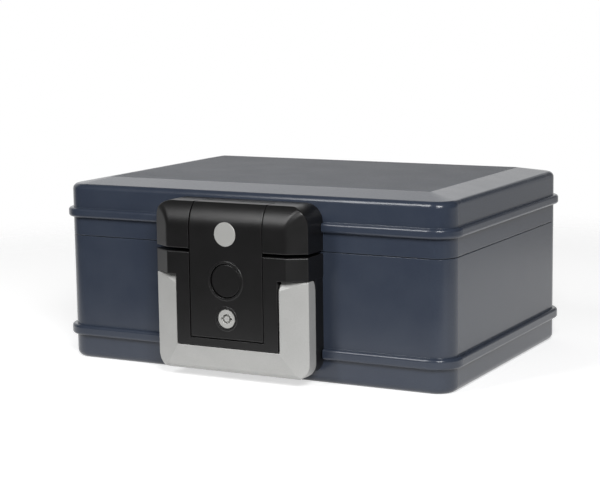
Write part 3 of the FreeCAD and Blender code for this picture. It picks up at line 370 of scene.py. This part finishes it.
def shell_plastic():
    """Slate blue-grey moulded plastic: satin walls, and a pebbled panel on the lid. Edges are painted
    lighter, partly wear and partly painted highlight, and the pebble hollows carry painted shade.
    """
    finish = new_finish("shell_plastic")
    x, y, z = finish.axes(finish.place())
    panel_x = SHELL_HALF_W - PANEL_INSET
    panel_y = SHELL_HALF_D - PANEL_INSET
    in_x = finish.span(abs(x), panel_x, panel_x - PANEL_EDGE_SOFT)
    in_y = finish.span(abs(y), panel_y, panel_y - PANEL_EDGE_SOFT)
    on_top = finish.span(z, LID_TOP_Z - PANEL_FROM, LID_TOP_Z - PANEL_FULL)
    panel = in_x * in_y * on_top
    cloud = finish.noise(SHELL_CLOUD, detail=3.0)
    grain = finish.noise(SHELL_GRAIN, detail=2.0)
    cells = finish.pebbles(PEBBLE_SIZE)
    blend = cloud * SHELL_CLOUD_SHARE + grain * (1 - SHELL_CLOUD_SHARE)
    walls = finish.tones(blend, SHELL_DARK, SHELL_LIGHT)
    # pebble middles lighter and hollows darker: painted shade in the hollows between pebbles
    pebble_hollow = finish.span(cells, PEBBLE_INNER, PEBBLE_OUTER)
    pebble_shade_colour = finish.mix(pebble_hollow, colour(PEBBLE_LIT), colour(PEBBLE_SHADED))
    rounded = finish.rounded(SHELL_EDGE)
    # edges painted lighter: partly wear, partly painted highlight
    worn_and_highlit = finish.worn_and_highlit(rounded, SHELL_WEAR_AND_HIGHLIGHT, finish.mix(panel, walls, pebble_shade_colour), SHELL_WORN_HIGHLIT)
    satin = finish.varied(SHELL_ROUGH, (SHELL_ROUGH_CLOUD, cloud), (SHELL_ROUGH_GRAIN, grain))
    relief = grain * WALL_RELIEF_SHARE * (1 - panel) + (1 - cells) * panel
    return finish.surface(Base_Color=worn_and_highlit, Roughness=satin + PANEL_ROUGH * panel,
                          Normal=finish.bump(relief, SHELL_RELIEF, rounded))


def moulded_plastic(name, dark, light, rubbed_and_highlit, rough, grain_size):
    """Plain moulded plastic with a fine grain and edges painted a little lighter, partly wear and partly
    painted highlight.
    """
    finish = new_finish(name)
    cloud = finish.noise(PLASTIC_CLOUD, detail=3.0)
    grain = finish.noise(grain_size, detail=2.0)
    blend = cloud * PLASTIC_CLOUD_SHARE + grain * (1 - PLASTIC_CLOUD_SHARE)
    rounded = finish.rounded(PLASTIC_EDGE)
    # edges painted lighter: partly wear, partly painted highlight
    worn_and_highlit = finish.worn_and_highlit(rounded, PLASTIC_WEAR_AND_HIGHLIGHT, finish.tones(blend, dark, light), rubbed_and_highlit)
    sheen = finish.varied(rough, (PLASTIC_ROUGH_CLOUD, cloud), (PLASTIC_ROUGH_GRAIN, grain))
    return finish.surface(Base_Color=worn_and_highlit, Roughness=sheen,
                          Normal=finish.bump(grain, PLASTIC_RELIEF, rounded))


def lock_plastic():
    """Near-black satin plastic of the lock unit."""
    return moulded_plastic("lock_plastic", LOCK_DARK, LOCK_LIGHT, LOCK_WORN_HIGHLIT, LOCK_ROUGH, LOCK_GRAIN)


def liner_plastic():
    """Dark grey matt plastic of the inner tub and the lid's tray."""
    return moulded_plastic("liner_plastic", LINER_DARK, LINER_LIGHT, LINER_WORN_HIGHLIT, LINER_ROUGH, LINER_GRAIN)


def handle_silver():
    """Silver paint with fine flakes, painted a little brighter along the edges, partly wear and partly
    painted highlight.
    """
    finish = new_finish("handle_silver")
    cloud = finish.noise(HANDLE_CLOUD, detail=2.0)
    flakes = finish.noise(HANDLE_FLAKES, detail=1.0)
    blend = flakes * HANDLE_FLAKES_SHARE + cloud * (1 - HANDLE_FLAKES_SHARE)
    rounded = finish.rounded(HANDLE_EDGE)
    # edges painted brighter: partly wear, partly painted highlight
    worn_and_highlit = finish.worn_and_highlit(rounded, HANDLE_WEAR_AND_HIGHLIGHT, finish.tones(blend, HANDLE_DARK, HANDLE_LIGHT), HANDLE_WORN_HIGHLIT)
    rough = finish.varied(HANDLE_ROUGH, (HANDLE_ROUGH_FLAKES, flakes), (HANDLE_ROUGH_CLOUD, cloud))
    return finish.surface(Base_Color=worn_and_highlit, Roughness=rough, Metallic=HANDLE_METAL,
                          Normal=finish.bump(flakes, HANDLE_RELIEF, rounded))


def turned_silver(name, centre_z):
    """Satin silver with faint turning rings round a centre on the lock's middle line."""
    finish = new_finish(name)
    x, y, z = finish.axes(finish.place())
    up = z - centre_z
    turns = (x * x + up * up) ** 0.5 * (2 * math.pi / DISC_RING)
    rings = finish.node("ShaderNodeMath", {"operation": "SINE"}, {0: turns})
    grain = finish.noise(DISC_GRAIN, detail=2.0)
    rounded = finish.rounded(DISC_EDGE)
    # edges painted lighter: partly wear, partly painted highlight
    worn_and_highlit = finish.worn_and_highlit(rounded, DISC_WEAR_AND_HIGHLIGHT, finish.tones(grain, DISC_DARK, DISC_LIGHT), DISC_WORN_HIGHLIT)
    rough = finish.varied(DISC_ROUGH + DISC_ROUGH_RINGS * rings, (DISC_ROUGH_GRAIN, grain))
    return finish.surface(Base_Color=worn_and_highlit, Roughness=rough, Metallic=DISC_METAL,
                          Normal=finish.bump(rings, DISC_RELIEF, rounded))


def plated_steel():
    """Bright plated steel of pins, screws and springs."""
    finish = new_finish("plated_steel")
    cloud = finish.noise(STEEL_CLOUD, detail=3.0)
    grain = finish.noise(STEEL_GRAIN, detail=2.0)
    rounded = finish.rounded(STEEL_EDGE)
    # edges painted lighter: partly wear, partly painted highlight
    worn_and_highlit = finish.worn_and_highlit(rounded, STEEL_WEAR_AND_HIGHLIGHT, finish.tones(cloud, STEEL_DARK, STEEL_LIGHT), STEEL_WORN_HIGHLIT)
    rough = finish.varied(STEEL_ROUGH, (STEEL_ROUGH_CLOUD, cloud), (STEEL_ROUGH_GRAIN, grain))
    return finish.surface(Base_Color=worn_and_highlit, Roughness=rough, Metallic=STEEL_METAL,
                          Normal=finish.bump(grain, STEEL_RELIEF, rounded))


def coated_steel():
    """Dark powder-coated steel of the hinges, with a slight orange-peel surface."""
    finish = new_finish("coated_steel")
    peel = finish.noise(COAT_PEEL, detail=1.0)
    cloud = finish.noise(COAT_CLOUD, detail=2.0)
    rounded = finish.rounded(COAT_EDGE)
    patches = finish.span(cloud, COAT_WEAR_FROM, COAT_WEAR_TO) * COAT_WEAR
    worn_and_highlit = finish.worn_and_highlit(rounded, patches, finish.tones(cloud, COAT_DARK, COAT_LIGHT), COAT_BARE)
    rough = finish.varied(COAT_ROUGH, (COAT_ROUGH_PEEL, peel))
    return finish.surface(Base_Color=worn_and_highlit, Roughness=rough, Normal=finish.bump(peel, COAT_RELIEF, rounded))


def set_fill():
    """Pale set insulation with small pores, painted darker in the pores as painted shade."""
    finish = new_finish("set_fill")
    pores = finish.pebbles(FILL_PORE)
    cloud = finish.noise(FILL_CLOUD, detail=4.0)
    in_pore = finish.span(pores, FILL_PORE_FROM, FILL_PORE_TO)
    # pores painted darker: painted shade in the recesses
    pores_shaded = finish.mix(in_pore, finish.tones(cloud, FILL_DARK, FILL_LIGHT), colour(FILL_PORE_SHADE))
    return finish.surface(Base_Color=pores_shaded, Roughness=finish.varied(FILL_ROUGH, (FILL_ROUGH_CLOUD, cloud)),
                          Normal=finish.bump(1 - pores, FILL_RELIEF, finish.rounded(FILL_EDGE)))


def seal_strip():
    """Matt black sealing strip with a fibrous surface."""
    finish = new_finish("seal_strip")
    fibres = finish.noise(SEAL_FIBRE, detail=4.0)
    body = finish.tones(fibres, SEAL_DARK, SEAL_LIGHT)
    return finish.surface(Base_Color=body, Roughness=finish.varied(SEAL_ROUGH, (SEAL_ROUGH_FIBRE, fibres)),
                          Normal=finish.bump(fibres, SEAL_RELIEF, finish.rounded(SEAL_EDGE)))


def middle_z(node):
    """The height of a node's middle."""
    low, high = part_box(node)
    return (low.z + high.z) / 2


def dress_nodes():
    """Give every piece of the model the finish of its slot."""
    by_slot = {
        "shell_plastic": shell_plastic(),
        "liner_plastic": liner_plastic(),
        "insulation": set_fill(),
        "lock_plastic": lock_plastic(),
        "handle_silver": handle_silver(),
        "silver_disc": turned_silver("lock_face_silver", middle_z("lock_cylinder")),
        "steel": plated_steel(),
        "hinge_steel": coated_steel(),
        "seal_strip": seal_strip(),
    }
    by_node = {"badge_disc": turned_silver("badge_silver", middle_z("badge_disc"))}
    for subpart in frame["record"]["subparts"]:
        node = subpart["node"]
        material = by_node.get(node, by_slot[subpart["material_slot"]])
        for holder in frame["nodes"][node].material_slots:
            holder.material = material


def studio_level(finish, toward):
    """How bright the studio is in a direction: a white backdrop and a screen behind, dim elsewhere."""
    x, y, z = finish.axes(toward)
    behind = finish.span(y, BACKDROP_FROM, BACKDROP_TO)
    low = 1 - finish.span(z + BACKDROP_SLANT * x, BACKDROP_TOP, CEILING_FROM)
    to_screen = Vector(SCREEN_TOWARD).normalized()
    screen = finish.span(x * to_screen.x + y * to_screen.y + z * to_screen.z, SCREEN_EDGE, SCREEN_FULL)
    backdrop = finish.span(x, BACKDROP_FROM, BACKDROP_TO, BACKDROP_LEFT, BACKDROP_RIGHT)
    return DIM_LEVEL + (backdrop - DIM_LEVEL) * behind * low + SCREEN_LEVEL * screen


def make_world():
    """White where the camera sees it, and the studio's own levels for light and reflections."""
    world = bpy.data.worlds.new("studio")
    bpy.context.scene.world = world
    finish = Finish(world)
    toward = finish.node("ShaderNodeTexCoord", {}, {}, "Generated")
    seen = finish.node("ShaderNodeLightPath", {}, {}, "Is Camera Ray")
    level = studio_level(finish, toward)
    strength = seen + (1 - seen) * level
    backdrop = finish.node("ShaderNodeBackground", {}, {"Color": WHITE, "Strength": strength})
    finish.node("ShaderNodeOutputWorld", {}, {"Surface": backdrop})


def floor_white():
    """Pale floor that keeps the box's shadow and fades out into the white backdrop."""
    finish = new_finish("floor_white")
    path = {name: finish.node("ShaderNodeLightPath", {}, {}, name)
            for name in ("Is Camera Ray", "Is Glossy Ray", "Is Transmission Ray")}
    shown = path["Is Camera Ray"].most(path["Is Glossy Ray"]).most(path["Is Transmission Ray"])
    pale = (FLOOR_WHITE, FLOOR_WHITE, FLOOR_WHITE, 1)
    matt = finish.node("ShaderNodeBsdfDiffuse", {}, {"Color": pale})
    lift = finish.node("ShaderNodeEmission", {}, {"Color": WHITE, "Strength": shown * FLOOR_LIFT})
    lit = finish.node("ShaderNodeAddShader", {}, {0: matt, 1: lift})
    clear = finish.node("ShaderNodeBsdfTransparent", {}, {})
    x, y, z = finish.axes(finish.place())
    radius = (x * x + y * y) ** 0.5
    fade = finish.span(radius, FLOOR_FADE_FROM, FLOOR_RADIUS)
    toward_front = FRONT_DIM_SLANT * (0 - x) + (1 - FRONT_DIM_SLANT ** 2) ** 0.5 * (0 - y)
    in_front = finish.span(toward_front, FRONT_DIM_FROM, FRONT_DIM_TO)
    share = fade.most(path["Is Glossy Ray"] * in_front * FRONT_DIM)
    shader = finish.node("ShaderNodeMixShader", {}, {0: share, 1: lit, 2: clear})
    finish.node("ShaderNodeOutputMaterial", {}, {"Surface": shader})
    return finish.owner


def make_floor():
    """A round floor under the box."""
    bpy.ops.object.select_all(action="DESELECT")
    bpy.ops.mesh.primitive_circle_add(vertices=FLOOR_SIDES, radius=FLOOR_RADIUS, fill_type="NGON",
                                      location=(0, 0, 0))
    floor = bpy.context.object
    floor.name = "floor"
    floor.data.materials.append(floor_white())


def make_lamps():
    """Soft lamps that point at the box."""
    aim = Vector(LAMP_AIM)
    for name, direction, distance, width, height, power in LAMPS:
        lamp = bpy.data.lights.new(name, "AREA")
        lamp.shape = "RECTANGLE"
        lamp.size = width
        lamp.size_y = height
        lamp.energy = power
        holder = bpy.data.objects.new(name, lamp)
        holder.location = aim + Vector(direction).normalized() * distance
        holder.rotation_euler = (aim - holder.location).to_track_quat("-Z", "Y").to_euler()
        bpy.context.scene.collection.objects.link(holder)


def make_camera():
    """The camera, at the photograph's place and angle."""
    lens = bpy.data.cameras.new("camera")
    lens.lens = CAMERA_LENS
    lens.sensor_width = CAMERA_SENSOR
    lens.sensor_fit = "HORIZONTAL"
    camera = bpy.data.objects.new("camera", lens)
    level = Euler((math.pi / 2 - CAMERA_TILT, 0, CAMERA_TURN)).to_matrix()
    turned = (level @ Matrix.Rotation(CAMERA_ROLL, 3, "Z")).to_4x4()
    camera.matrix_world = Matrix.Translation(CAMERA_PLACE) @ turned
    bpy.context.scene.collection.objects.link(camera)
    bpy.context.scene.camera = camera


bpy.context.scene.view_settings.view_transform = "Standard"
dress_nodes()
make_world()
make_floor()
make_lamps()
make_camera()
